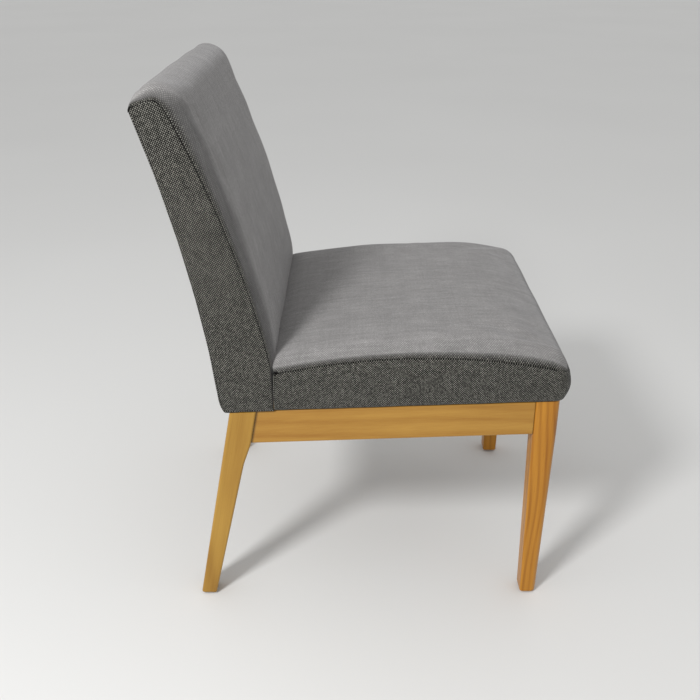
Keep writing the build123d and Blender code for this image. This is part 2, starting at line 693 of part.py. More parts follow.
# Steel angles between the posts and the board
with BuildPart() as back_bracket_left:
    with BuildSketch(FRONT.offset(-bracket_middle - BRACKET_WIDTH / 2)) as angle:
        with BuildLine():
            Polyline(
                (post_inner, board_top),
                (post_inner - BRACKET_FOOT, board_top),
                (post_inner - BRACKET_FOOT, board_top + BRACKET_THICKNESS),
                (post_inner - BRACKET_THICKNESS, board_top + BRACKET_THICKNESS),
                (post_inner - BRACKET_THICKNESS, board_top + BRACKET_HEIGHT),
                (post_inner, board_top + BRACKET_HEIGHT),
                close=True,
            )
        make_face()
        bend = angle.vertices().sort_by_distance((post_inner, board_top))[1]
        fillet(bend, BRACKET_BEND)
    extrude(amount=BRACKET_WIDTH)
    add([post_screw_holes, board_screw_holes], mode=Mode.SUBTRACT)
save("back_bracket_left", back_bracket_left)

with BuildPart() as back_bracket_right:
    mirror(back_bracket_left.part, about=Plane.YZ)
save("back_bracket_right", back_bracket_right)

with BuildPart() as bracket_screws:
    add(pins(post_screw_places + board_screw_places, BRACKET_SCREW_DIAMETER))
    add(pins(bracket_head_places, SCREW_HEAD_DIAMETER))
save("bracket_screws", bracket_screws)

# Back pad: one piece in front of the webbing, rolled over the top of the frame
with BuildPart() as back_foam:
    add(back_form(COVER + FOAM_GAP))
    frame_bay = back_band(-BACK_REAR_CORNER, post_length + FOAM_GAP, -CUT_MARGIN, web_front + FOAM_GAP)
    extrude(frame_bay, amount=BODY_WIDTH, both=True, mode=Mode.SUBTRACT)
    split(bisect_by=SEAT.offset(board_top), keep=Keep.TOP)
save("back_foam", back_foam)

# Back cover: a gusset on each side, the inside back carried over the top, and the outside back
with BuildPart() as gusset_zones:
    with BuildSketch(FRONT.offset(-SEAT_DEPTH)) as gusset_ends:
        with BuildLine():
            Polyline(
                (body_half, -COVER),
                (flange_inner, -COVER),
                (flange_inner, COVER),
                (body_half - COVER, COVER),
                (body_half - COVER, above_back),
                (body_half, above_back),
                close=True,
            )
        make_face()
        mirror(gusset_ends.sketch_local, about=Plane.YZ)
    extrude(amount=SEAT_DEPTH - back_point(above_back, 0)[0])

with BuildPart() as rear_zone:
    rear_band = back_band(-BACK_REAR_CORNER, above_back, -CUT_MARGIN, BACK_REAR_EASE + COVER)
    extrude(rear_band, amount=BODY_WIDTH, both=True)

with BuildPart() as board_bay:
    with BuildSketch(SEAT.offset(COVER)):
        with Locations((0, SEAT_DEPTH - CUT_MARGIN)):
            Rectangle(BODY_WIDTH, CUT_MARGIN + FLANGE, align=(Align.CENTER, Align.MIN))
    extrude(amount=BOARD_THICKNESS)

with BuildPart() as back_gussets:
    add(back_outside)
    add(back_inside, mode=Mode.SUBTRACT)
    add(gusset_zones.part, mode=Mode.INTERSECT)

for name, end in (("back_gusset_left", -1), ("back_gusset_right", 0)):
    with BuildPart() as back_gusset:
        add(back_gussets.solids().sort_by(Axis.X)[end])
    save(name, back_gusset)

with BuildPart() as back_cover_front:
    add(back_outside)
    for zone in (back_inside, gusset_zones.part, rear_zone.part, board_bay.part, board_window.part):
        add(zone, mode=Mode.SUBTRACT)
    split(bisect_by=SEAT.offset(board_top), keep=Keep.TOP)
save("back_cover_front", back_cover_front)

with BuildPart() as back_cover_rear:
    add(back_outside)
    for zone in (back_inside, gusset_zones.part, back_cover_front.part, board_bay.part, board_window.part):
        add(zone, mode=Mode.SUBTRACT)
save("back_cover_rear", back_cover_rear)
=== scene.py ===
from math import cos, pi, radians, sin

import bmesh
import bpy
import numpy as np
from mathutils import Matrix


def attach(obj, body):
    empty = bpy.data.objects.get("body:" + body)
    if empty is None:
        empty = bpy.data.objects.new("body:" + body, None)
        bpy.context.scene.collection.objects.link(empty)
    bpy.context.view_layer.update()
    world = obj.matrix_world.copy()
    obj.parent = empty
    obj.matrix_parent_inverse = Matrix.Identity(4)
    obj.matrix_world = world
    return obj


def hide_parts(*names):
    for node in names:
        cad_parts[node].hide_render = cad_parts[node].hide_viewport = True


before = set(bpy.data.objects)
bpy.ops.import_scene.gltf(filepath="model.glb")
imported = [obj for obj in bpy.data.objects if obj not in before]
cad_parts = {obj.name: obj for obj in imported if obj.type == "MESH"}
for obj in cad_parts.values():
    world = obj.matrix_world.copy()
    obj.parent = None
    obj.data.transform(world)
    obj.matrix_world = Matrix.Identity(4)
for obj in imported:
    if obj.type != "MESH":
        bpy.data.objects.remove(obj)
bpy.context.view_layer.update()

# Front legs: straight-grained rubberwood, sawn square behind the rails and tapered to the floor,
# stained a little warmer than the rails and sprayed with clear satin lacquer.


class Wire:
    """A socket of a material's nodes. Sums, differences, products and powers of wires add Math nodes."""

    def __init__(self, tree, socket=None):
        self.tree = tree
        self.socket = socket

    def node(self, kind, settings, inputs, output=0):
        """A new node: its settings are set first, then the values or the links of its sockets."""
        made = self.tree.nodes.new(kind)
        for key, value in settings.items():
            setattr(made, key, value)
        for key, value in inputs.items():
            if isinstance(value, Wire):
                self.tree.links.new(value.socket, made.inputs[key])
            else:
                made.inputs[key].default_value = value
        return Wire(self.tree, made.outputs[output])

    def math(self, operation, *values):
        """A Math node on wires or numbers."""
        return self.node("ShaderNodeMath", {"operation": operation}, dict(enumerate(values)))

    def __add__(self, other):
        return self.math("ADD", self, other)

    def __sub__(self, other):
        return self.math("SUBTRACT", self, other)

    def __rsub__(self, other):
        return self.math("SUBTRACT", other, self)

    def __mul__(self, other):
        return self.math("MULTIPLY", self, other)

    def __truediv__(self, other):
        return self.math("DIVIDE", self, other)

    def __pow__(self, other):
        return self.math("POWER", self, other)

    __radd__ = __add__
    __rmul__ = __mul__

    def held(self, low=0.0, high=1.0):
        """This wire, kept between a lower and an upper limit."""
        return self.math("MINIMUM", self.math("MAXIMUM", self, low), high)

    def mixed(self, first, second):
        """The first colour where this wire is 0, the second where it is 1."""
        sockets = {0: self, 6: first, 7: second}
        return self.node("ShaderNodeMix", {"data_type": "RGBA"}, sockets, 2)

    def shaded(self, colour):
        """The colour times this wire."""
        sockets = {0: 1.0, 6: colour, 7: self}
        return self.node("ShaderNodeMix", {"data_type": "RGBA", "blend_type": "MULTIPLY"}, sockets, 2)

    def into(self, shader, socket):
        """Links this wire to one of the shader's sockets."""
        self.tree.links.new(self.socket, shader.inputs[socket])


def new_finish(name, constants):
    """A material with its constant sockets set: the material, a wire to build on and its shader."""
    material = bpy.data.materials.new(name)
    material.use_nodes = True
    shader = material.node_tree.nodes["Principled BSDF"]
    for socket, value in constants.items():
        shader.inputs[socket].default_value = value
    return material, Wire(material.node_tree), shader


def timber(name, pale, dark, turn, heart, ring, figure, gloss=0.12, joint=None):
    """Wood sawn from a log whose heart lies along the turned Z axis: growth rings are a sine of the
    distance from the heart, one to each ring's width in metres, bent by slow noise and mixed in by the
    figure, with long fibres and short pores over them. A joint is a point and a direction, and within a
    few millimetres of that plane the wood is darkened by a painted shadow, the shade of a proud leg."""
    material, start, shader = new_finish(
        name, {"Coat Weight": gloss, "Coat Roughness": 0.3, "Specular IOR Level": 0.3}
    )
    place = start.node("ShaderNodeTexCoord", {}, {}, "Object")
    log = start.node(
        "ShaderNodeMapping", {}, {"Vector": place, "Rotation": turn, "Location": heart}
    )

    def streaks(across, along, detail=2.0):
        """Noise drawn out along the log: its scales across and along the grain, per metre."""
        scaled = start.node("ShaderNodeMapping", {}, {"Vector": log, "Scale": (across, across, along)})
        return start.node("ShaderNodeTexNoise", {}, {"Vector": scaled, "Scale": 1.0, "Detail": detail})

    bend = streaks(5.0, 1.8)
    stray = streaks(24.0, 2.8)
    band = streaks(95.0, 2.2, 3.0)
    fibre = streaks(620.0, 9.0, 3.0)
    pore = streaks(1500.0, 42.0)
    cloud = streaks(13.0, 4.5)
    x = start.node("ShaderNodeSeparateXYZ", {}, {"Vector": log}, "X")
    y = start.node("ShaderNodeSeparateXYZ", {}, {"Vector": log}, "Y")
    reach = (x * x + y * y) ** 0.5 + (bend - 0.5) * 0.05 + (stray - 0.5) * 0.012
    late = (start.math("SINE", reach * (2 * pi / ring)) * 0.5 + 0.5) ** 2.0
    dash = ((pore - 0.62) * 7.0).held()
    lines = late * figure + (band - 0.5) * 0.8 + (fibre - 0.5) * 0.45 + dash * 0.22
    tone = (lines + (cloud - 0.5) * 0.6 + 0.3).held()
    colour = tone.mixed(pale, dark)
    if joint:
        away = start.node("ShaderNodeVectorMath", {"operation": "SUBTRACT"}, {0: place, 1: joint[0]})
        depth = start.node(
            "ShaderNodeVectorMath", {"operation": "DOT_PRODUCT"}, {0: away, 1: joint[1]}, "Value"
        )
        # Painted shadow: full on the far side of the joint's plane, fading out over a few millimetres.
        shadow_width, shadow_darkness = 0.0042, 0.8
        colour = (1.0 - (1.0 - depth / shadow_width).held() * shadow_darkness).shaded(colour)
    colour.into(shader, "Base Color")
    (0.36 + (fibre - 0.5) * 0.12 + dash * 0.1).into(shader, "Roughness")
    relief = (1.0 - dash) * 0.6 + fibre * 0.4
    relief.node(
        "ShaderNodeBump", {}, {"Strength": 0.25, "Distance": 0.00015, "Height": relief}
    ).into(shader, "Normal")
    return material


def dress(material, *names):
    """Gives CAD nodes a material."""
    for name in names:
        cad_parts[name].data.materials.clear()
        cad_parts[name].data.materials.append(material)


dress(
    timber(
        "front_leg_timber",
        pale=(0.54, 0.238, 0.022, 1),
        dark=(0.27, 0.094, 0.004, 1),
        turn=(0.0, radians(0.6), 0.0),
        heart=(0.0, 0.03, 0.0),
        ring=0.0085,
        figure=0.36,
    ),
    "front_leg_left",
    "front_leg_right",
)

# Rear legs: paler boards of the same timber, sawn to a rake with a waist under the rail,
# edges eased by hand and lacquered.
dress(
    timber(
        "rear_leg_timber",
        pale=(0.43, 0.245, 0.042, 1),
        dark=(0.25, 0.116, 0.011, 1),
        turn=(radians(-10.9), radians(1.2), 0.0),
        heart=(0.16, -0.24, 0.0),
        ring=0.014,
        figure=0.3,
    ),
    "rear_leg_left",
    "rear_leg_right",
)

# Side rails: flat-sawn boards doweled between the legs, flush with the front leg,
# with arched figure where the board runs out of the rings.
dress(
    timber(
        "side_rail_timber",
        pale=(0.44, 0.240, 0.044, 1),
        dark=(0.27, 0.113, 0.012, 1),
        turn=(radians(92.1), radians(3.2), 0.0),
        heart=(0.0, -0.305, 0.0),
        ring=0.022,
        figure=0.27,
        # Beside the proud rear leg, a painted shadow of that leg darkens the rail.
        joint=((0.0, 0.1613, 0.354), (0.0, -0.982, -0.189)),
    ),
    "side_rail_left",
    "side_rail_right",
)

# Front and rear rails: boards of the same timber and lacquer, doweled between the legs
# and set back from their faces.
dress(
    timber(
        "cross_rail_timber",
        pale=(0.44, 0.240, 0.044, 1),
        dark=(0.27, 0.113, 0.012, 1),
        turn=(0.0, radians(88.0), 0.0),
        heart=(0.33, 0.14, 0.0),
        ring=0.012,
        figure=0.4,
    ),
    "front_rail",
    "rear_rail",
)

# Corner blocks, dowels and the frame inside the back: sawn softwood, left without finish,
# glued and screwed where nobody looks.
dress(
    timber(
        "sawn_timber",
        pale=(0.60, 0.44, 0.25, 1),
        dark=(0.42, 0.26, 0.11, 1),
        turn=(0.0, radians(90.0), radians(4.0)),
        heart=(0.2, 0.1, 0.0),
        ring=0.008,
        figure=0.4,
        gloss=0.0,
    ),
    "corner_block_front_left",
    "corner_block_front_right",
    "corner_block_rear_left",
    "corner_block_rear_right",
    "rail_dowels",
    "back_post_left",
    "back_post_right",
    "back_bottom_rail",
    "back_middle_rail",
    "back_top_rail",
)


# Screws, bolts, washers, tee nuts and the back's angles: zinc-plated steel,
# bright with a thin yellowish film and fine drawing marks.
def plated_steel():
    """Steel whose film is coarse noise between two tones, under fine noise for the drawing marks."""
    material, start, shader = new_finish("plated_steel", {"Metallic": 1.0})
    place = start.node("ShaderNodeTexCoord", {}, {}, "Object")
    film = start.node("ShaderNodeTexNoise", {}, {"Vector": place, "Scale": 90.0, "Detail": 3.0})
    drawn = start.node("ShaderNodeTexNoise", {}, {"Vector": place, "Scale": 900.0, "Detail": 2.0})
    film.mixed((0.62, 0.62, 0.60, 1), (0.56, 0.53, 0.44, 1)).into(shader, "Base Color")
    (0.24 + drawn * 0.2).into(shader, "Roughness")
    drawn.node(
        "ShaderNodeBump", {}, {"Strength": 0.15, "Distance": 0.0001, "Height": drawn}
    ).into(shader, "Normal")
    return material


dress(
    plated_steel(),
    "corner_block_screws",
    "base_bolts",
    "base_washers",
    "tee_nuts",
    "back_bracket_left",
    "back_bracket_right",
    "bracket_screws",
)


# Foot glides: moulded brown nylon discs, each with its nail driven into the end of a leg,
# and scuffed by the floor.
def moulded_nylon():
    """Nylon in two browns by the noise of its scuffs, with a fine grit from the mould."""
    material, start, shader = new_finish("moulded_nylon", {"Specular IOR Level": 0.45})
    place = start.node("ShaderNodeTexCoord", {}, {}, "Object")
    grit = start.node("ShaderNodeTexNoise", {}, {"Vector": place, "Scale": 1400.0, "Detail": 3.0})
    scuff = start.node("ShaderNodeTexNoise", {}, {"Vector": place, "Scale": 160.0, "Detail": 4.0})
    scuff.mixed((0.06, 0.042, 0.03, 1), (0.12, 0.09, 0.066, 1)).into(shader, "Base Color")
    (0.42 + scuff * 0.25).into(shader, "Roughness")
    grit.node(
        "ShaderNodeBump", {}, {"Strength": 0.2, "Distance": 0.0001, "Height": grit}
    ).into(shader, "Normal")
    return material


dress(moulded_nylon(), "foot_glides")

# Seat board: birch plywood under the cushion, bolted to the corner blocks through tee nuts,
# its plies showing at the edge.
dress(
    timber(
        "plywood",
        pale=(0.60, 0.45, 0.27, 1),
        dark=(0.48, 0.32, 0.16, 1),
        turn=(radians(90.0), 0.0, 0.0),
        heart=(0.0, -0.1, 0.0),
        ring=0.0028,
        figure=0.5,
        gloss=0.0,
    ),
    "seat_board",
)


# Dust cover: black spunbonded cloth stapled under the board to close it from below,
# with the dimples of its bonding points.
def spunbond():
    """Felt in two blacks by fine noise, dimpled by the distance to the points of a loose grid."""
    material, start, shader = new_finish("spunbond", {"Sheen Weight": 0.15})
    place = start.node("ShaderNodeTexCoord", {}, {}, "Object")
    sockets = {"Vector": place, "Scale": 520.0, "Randomness": 0.35}
    dimple = start.node("ShaderNodeTexVoronoi", {"feature": "F1"}, sockets)
    felt = start.node("ShaderNodeTexNoise", {}, {"Vector": place, "Scale": 700.0, "Detail": 4.0})
    felt.mixed((0.010, 0.010, 0.011, 1), (0.034, 0.034, 0.036, 1)).into(shader, "Base Color")
    (0.72 + felt * 0.2).into(shader, "Roughness")
    dimple.node(
        "ShaderNodeBump", {}, {"Strength": 0.5, "Distance": 0.0003, "Height": dimple}
    ).into(shader, "Normal")
    return material


dress(spunbond(), "dust_cover")


# Webbing and hardboard inside the back: woven elastic straps stretched over the posts,
# and a smooth brown board that closes the frame behind.
def strap_weave():
    """Ribs across the strap: waves along Z between a dark and a light thread."""
    material, start, shader = new_finish("strap_weave", {"Sheen Weight": 0.1})
    place = start.node("ShaderNodeTexCoord", {}, {}, "Object")
    sockets = {"Vector": place, "Scale": 120.0, "Distortion": 0.6}
    rib = start.node("ShaderNodeTexWave", {"bands_direction": "Z"}, sockets)
    rib.mixed((0.05, 0.04, 0.03, 1), (0.16, 0.12, 0.08, 1)).into(shader, "Base Color")
    (0.7 + rib * 0.15).into(shader, "Roughness")
    rib.node(
        "ShaderNodeBump", {}, {"Strength": 0.4, "Distance": 0.0004, "Height": rib}
    ).into(shader, "Normal")
    return material


def pressed_board():
    """Pressed fibres: fine noise between two browns."""
    material, start, shader = new_finish("pressed_board", {"Specular IOR Level": 0.3})
    place = start.node("ShaderNodeTexCoord", {}, {}, "Object")
    chips = start.node("ShaderNodeTexNoise", {}, {"Vector": place, "Scale": 420.0, "Detail": 5.0})
    chips.mixed((0.13, 0.07, 0.035, 1), (0.25, 0.15, 0.08, 1)).into(shader, "Base Color")
    (0.5 + chips * 0.2).into(shader, "Roughness")
    chips.node(
        "ShaderNodeBump", {}, {"Strength": 0.15, "Distance": 0.0002, "Height": chips}
    ).into(shader, "Normal")
    return material


dress(strap_weave(), "back_webbing")
dress(pressed_board(), "back_rear_panel")

# Seat cushion: foam over the board under a sewn cover, a crowned top panel joined by a plain seam
# to a boxing band that runs round the front and turns under the board, all of one tweedy cloth.
# Sizes are in millimetres, along the seat line from the front legs' face and above that line.
SEAT_TOP_EDGE = 371.0
SEAT_FRONT_LINE = -302.3
SEAT_FALL = radians(2.1)
SEAT_HALF = 246.0
SEAT_FRONT = -12.5
SEAT_MIDDLE = 215.0
SEAT_REACH = 230.0  # from the middle to where the crown ends
SEAT_REAR = 434.5
SEAM_AT = [430.0, SEAT_MIDDLE, SEAT_FRONT]
SEAM_HEIGHTS = [64.0, 82.5, 50.5]
SEAM_ROWS = np.array([33.0, 25.5, 18.5, 12.0, 6.5, 2.6, 0.0])  # rows beside a seam, by their gap to it
SEAT_SIDE_ROLL = 20.0
SEAT_FRONT_ROLL = 25.0
SEAT_FULLNESS = 20.0
SEAT_CORNER = 20.0
SEAT_CROWN = 2.5
SEAT_PITCH = 12.0  # between columns
SEAT_ROWS = 34
FRONT_PADDING, FRONT_PADDING_AT, FRONT_PADDING_REACH = 12.0, 45.0, 115.0
REAR_PADDING, REAR_PADDING_AT, REAR_PADDING_REACH = 5.0, 440.0, 60.0
REAR_ROLL = 8.0
REAR_DROP = 4.0
JOINT_LEAN = 1.5  # of the joint between seat and back, at the bottom
JOINT_HEIGHT = 68.0
LEAN_FROM, LEAN_LENGTH = 370.0, 64.0
BAND_STEPS = [0, 0.035, 0.085, 0.16, 0.27, 0.39, 0.51, 0.63, 0.75, 0.86, 0.95, 1.0]
BAND_FOOT = 3.0
BAND_SWELL, FRONT_SWELL = 1.5, 1.5  # the second is the front's share more
BAND_DRAW, FRONT_DRAW = 2.5, 2.5
DRAW_FROM = 0.35  # share of the band's height
FLANGE = 26.0


def on_seat(x, s, n):
    """Points given across the chair, along the seat line from the front legs' face and above it, in
    millimetres. The line falls to the rear, so Y takes s by its cosine and Z loses s by its sine."""
    y = SEAT_FRONT_LINE + s * cos(SEAT_FALL) + n * sin(SEAT_FALL)
    z = SEAT_TOP_EDGE - s * sin(SEAT_FALL) + n * cos(SEAT_FALL)
    return np.stack([x, y, z], -1) / 1000


def seam_height(s):
    """The side seam's arch: the parabola through its heights at the back, the middle and the front."""
    return np.polyval(np.polyfit(SEAM_AT, SEAM_HEIGHTS, 2), s)


def roll_steps(wide, high):
    """Round a shoulder of elliptical section, from its crown to the seam: the sines of the angles at
    arc lengths that close up on the seam, and those arc lengths measured from the seam."""
    angle = np.linspace(0, pi / 2, 200)
    pieces = np.hypot(wide * np.cos(angle[:-1]), high * np.sin(angle[:-1])) * np.diff(angle)
    arc = np.concatenate([[0], np.cumsum(pieces)])
    gaps = SEAM_ROWS[SEAM_ROWS < arc[-1] - 3]
    return np.sin(np.interp(arc[-1] - gaps, arc, angle)), gaps, arc[-1]


def columns_over(half, roll, high, pitch):
    """Columns from side to side: even over the flat, then round each shoulder. Gives x, the share of
    the shoulder gone round, the girth from the middle and the gap to the seam."""
    share, gaps, arc = roll_steps(roll, high)
    flat = np.linspace(0, half - roll, round((half - roll) / pitch) + 1)
    x = np.concatenate([flat, half - roll + roll * share])
    round_share = np.concatenate([0 * flat, share])
    girth = np.concatenate([flat, half - roll + arc - gaps])
    gap = girth[-1] - girth
    return (
        np.concatenate([-x[:0:-1], x]),
        np.concatenate([round_share[:0:-1], round_share]),
        np.concatenate([-girth[:0:-1], girth]),
        np.concatenate([gap[:0:-1], gap]),
    )


def seat_top():
    """The top panel as x, s and n over columns and rows. Its height is the seam's arch, a low crown and
    a fullness that falls to nothing at the seam as a quarter ellipse of e, where 1 - e is the product
    of what is left of the side's and the front's shoulders. Bells of s add padding at the front and at
    the rear, where the panel rolls down to the back. In plan the front corners are rounded by the map
    of a square on a quarter disc."""
    x, side, girth, side_gap = columns_over(SEAT_HALF, SEAT_SIDE_ROLL, SEAT_FULLNESS, SEAT_PITCH)
    share, gaps, arc = roll_steps(SEAT_FRONT_ROLL, SEAT_FULLNESS)
    flat_front = SEAT_FRONT + SEAT_FRONT_ROLL
    flat = np.linspace(SEAT_REAR - REAR_ROLL, flat_front, SEAT_ROWS)
    rear = np.array([SEAT_REAR, SEAT_REAR - 0.8, SEAT_REAR - 3.0])
    s = np.concatenate([rear, flat, flat_front - SEAT_FRONT_ROLL * share])
    front = np.concatenate([0 * rear, 0 * flat, share])
    front_gap = np.concatenate([rear - flat_front + arc, flat - flat_front + arc, gaps])
    x, s = np.meshgrid(x, s)
    side, front = np.meshgrid(side, front)
    gap = np.minimum(*np.meshgrid(side_gap, front_gap))
    weave = np.stack(np.meshgrid(girth, front_gap), -1) / 1000
    back = np.clip((s - (SEAT_REAR - REAR_ROLL)) / REAR_ROLL, 0, 1)
    edge = 1 - (1 - side) * (1 - front)
    over_x = np.clip((np.abs(x) - SEAT_HALF + SEAT_CORNER) / SEAT_CORNER, 0, 1)
    over_s = np.clip((SEAT_FRONT + SEAT_CORNER - s) / SEAT_CORNER, 0, 1)
    x = x - np.sign(x) * SEAT_CORNER * over_x * (1 - np.sqrt(1 - over_s**2 / 2))
    s = s + SEAT_CORNER * over_s * (1 - np.sqrt(1 - over_x**2 / 2))
    middle = (1 - (x / SEAT_HALF) ** 2) * (1 - ((s - SEAT_MIDDLE) / SEAT_REACH) ** 2)
    at_front = np.exp(-(((s - FRONT_PADDING_AT) / FRONT_PADDING_REACH) ** 2))
    at_rear = np.exp(-(((s - REAR_PADDING_AT) / REAR_PADDING_REACH) ** 2))
    padding = SEAT_FULLNESS + FRONT_PADDING * at_front + REAR_PADDING * at_rear
    fullness = padding * np.sqrt(np.clip(1 - edge**2, 0, 1))
    drop = REAR_DROP * (1 - np.sqrt(1 - back**2)) * np.sqrt(np.clip(1 - side**2, 0, 1))
    n = seam_height(s) + fullness + SEAT_CROWN * middle - drop
    return x, s, n, weave, gap


def seat_band(x, s, n):
    """The boxing, carried round the top panel's edge: from the seam it swells out as a sine of the way
    down, draws in as a square towards the bottom, both most of all at the front, and turns under the
    board as a flange."""

    def edge(grid):
        """The grid's values down one side, along the front, up the other side and along the rear."""
        return np.concatenate([grid[:, 0], grid[-1, 1:], grid[-2::-1, -1], grid[0, -2::-1]])

    x, s, n = edge(x), edge(s), edge(n)
    run = np.concatenate([[0], np.cumsum(np.sqrt(np.diff(x) ** 2 + np.diff(s) ** 2))])
    away_x = np.sign(x) * np.maximum(np.abs(x) - SEAT_HALF + SEAT_CORNER, 0)
    away_s = -np.maximum(SEAT_FRONT + SEAT_CORNER - s, 0)
    length = np.maximum(np.hypot(away_x, away_s), 1e-6)
    inner = np.hypot(away_x, away_s) < 1e-3
    out_x, out_s = away_x / length, away_s / length
    down = np.array(BAND_STEPS)[:, None]
    height = n * (1 - down) + BAND_FOOT * down
    drawn_in = np.clip((down - DRAW_FROM) / (1 - DRAW_FROM), 0, 1) ** 2
    draw = (BAND_DRAW + FRONT_DRAW * out_s**2) * drawn_in
    out = BAND_SWELL * (1 + FRONT_SWELL * out_s**2) * np.sin(pi * down**1.3) - draw
    under_n = np.where(inner, 2.8, np.array([0.9, 0.3, 0.3, 2.8])[:, None])
    under_out = -draw[-1] - np.array([2.0, 6.0, FLANGE, FLANGE + 0.5])[:, None]
    height = np.concatenate([height, under_n])
    out = np.concatenate([out, under_out])
    lean = JOINT_LEAN * np.clip(1 - height / JOINT_HEIGHT, 0, 1)
    lean = lean * np.clip((s - LEAN_FROM) / LEAN_LENGTH, 0, 1)
    points = on_seat(x + out_x * out, s + out_s * out + lean, height)
    depth = np.concatenate([n * down, n + np.array([4.0, 8.0, 28.0, 31.0])[:, None]])
    at_joint = np.where(np.abs(x) > SEAT_HALF - 1, SEAT_REAR - s, 99.0)
    gap = np.minimum(depth, np.where(inner, 99.0, at_joint))
    weave = np.stack([np.broadcast_to(run, depth.shape), depth], -1) / 1000
    still = (np.arange(len(height)) >= len(down) - 1)[:, None] | (s > SEAT_REAR - 1)[None, :]
    return points, weave, gap, still


def sew(name, panels, materials):
    """One closed cover from panels, each a grid of points with its weave, its gap to the nearest seam,
    what of it is held still, how far it may swell and its material. Edges that meet are joined."""
    points, weave, gap, still, give, quads, slots = [], [], [], [], [], [], []
    first = 0
    for panel in panels:
        rows, columns = panel["points"].shape[:2]
        index = first + np.arange(rows * columns).reshape(rows, columns)
        first += rows * columns
        corners = (index[:-1, :-1], index[:-1, 1:], index[1:, 1:], index[1:, :-1])
        quads.append(np.stack(corners, -1).reshape(-1, 4))
        slots.append(np.full(len(quads[-1]), panel["slot"]))
        points.append(panel["points"].reshape(-1, 3))
        weave.append(panel["weave"].reshape(-1, 2))
        gap.append(panel["gap"].ravel())
        still.append(panel["still"].ravel())
        give.append(np.full(rows * columns, panel["give"]))
    quads = np.concatenate(quads)
    mesh = bpy.data.meshes.new(name)
    mesh.from_pydata(np.concatenate(points), [], quads.tolist())
    threads = np.concatenate(weave)[quads.ravel()]
    mesh.uv_layers.new(name="weave").data.foreach_set("uv", threads.ravel())
    mesh.polygons.foreach_set("material_index", np.concatenate(slots))
    for key, values in (("seam", gap), ("still", still), ("give", give)):
        layer = mesh.attributes.new(key, "FLOAT", "POINT")
        layer.data.foreach_set("value", np.concatenate(values).astype(np.float32))
    shell = bmesh.new()
    shell.from_mesh(mesh)
    bmesh.ops.remove_doubles(shell, verts=shell.verts, dist=2e-5)
    rim = [edge for edge in shell.edges if edge.is_boundary]
    bmesh.ops.edgeloop_fill(shell, edges=rim)
    bmesh.ops.recalc_face_normals(shell, faces=shell.faces)
    shell.to_mesh(mesh)
    shell.free()
    for material in materials:
        mesh.materials.append(material)
    piece = bpy.data.objects.new(name, mesh)
    bpy.context.scene.collection.objects.link(piece)
    return piece


def values_of(mesh, key):
    """A point attribute of a mesh as an array."""
    values = np.zeros(len(mesh.vertices), np.float32)
    mesh.attributes[key].data.foreach_get("value", values)
    return values


def places_of(mesh):
    """The points of a mesh as rows of x, y and z."""
    places = np.zeros(len(mesh.vertices) * 3, np.float32)
    mesh.vertices.foreach_get("co", places)
    return places.reshape(-1, 3).astype(float)


def swell(piece):
    """Cloth under a little air pressure, held at its seams, for twenty frames with no gravity. A point
    that moves by m comes to rest at give times tanh(m / give), so none moves more than its give."""
    rest = places_of(piece.data)
    give = np.maximum(values_of(piece.data, "give"), 1e-3)[:, None] / 1000
    still = values_of(piece.data, "still")
    pins = piece.vertex_groups.new(name="pins")
    pins.add(np.flatnonzero(still > 0.5).tolist(), 1.0, "REPLACE")
    cloth = piece.modifiers.new("cloth", "CLOTH")
    cloth.settings.quality = 6
    cloth.settings.mass = 0.25
    cloth.settings.tension_stiffness = 12
    cloth.settings.compression_stiffness = 12
    cloth.settings.shear_stiffness = 6
    cloth.settings.bending_stiffness = 2
    cloth.settings.vertex_group_mass = "pins"
    cloth.settings.use_pressure = True
    cloth.settings.uniform_pressure_force = 4
    cloth.settings.effector_weights.gravity = 0
    cloth.collision_settings.use_collision = False
    last_frame = 20
    cloth.point_cache.frame_start = 1
    cloth.point_cache.frame_end = last_frame
    for step in range(1, last_frame + 1):
        bpy.context.scene.frame_set(step)
    blown = piece.evaluated_get(bpy.context.evaluated_depsgraph_get())
    move = places_of(blown.data) - rest
    piece.modifiers.remove(cloth)
    piece.vertex_groups.remove(pins)
    bpy.context.scene.frame_set(1)
    far = np.maximum(np.linalg.norm(move, axis=1, keepdims=True), 1e-9)
    rest = rest + move / far * give * np.tanh(far / give)
    piece.data.vertices.foreach_set("co", rest.ravel())


GROOVE_DEPTH, GROOVE_WIDTH = 1.2, 1.7
DIP_DEPTH, DIP_REACH = 0.7, 6.0  # of the cloth drawn down beside a seam
DIMPLE_DEPTH, DIMPLE_REACH = 1.8, 15.0  # where seat and back meet at the side
DIMPLE_HEIGHT = 62.0
WAVER, WAVER_FROM = 0.28, 20.0
PUCKER, PUCKER_REACH = 0.16, 7.0


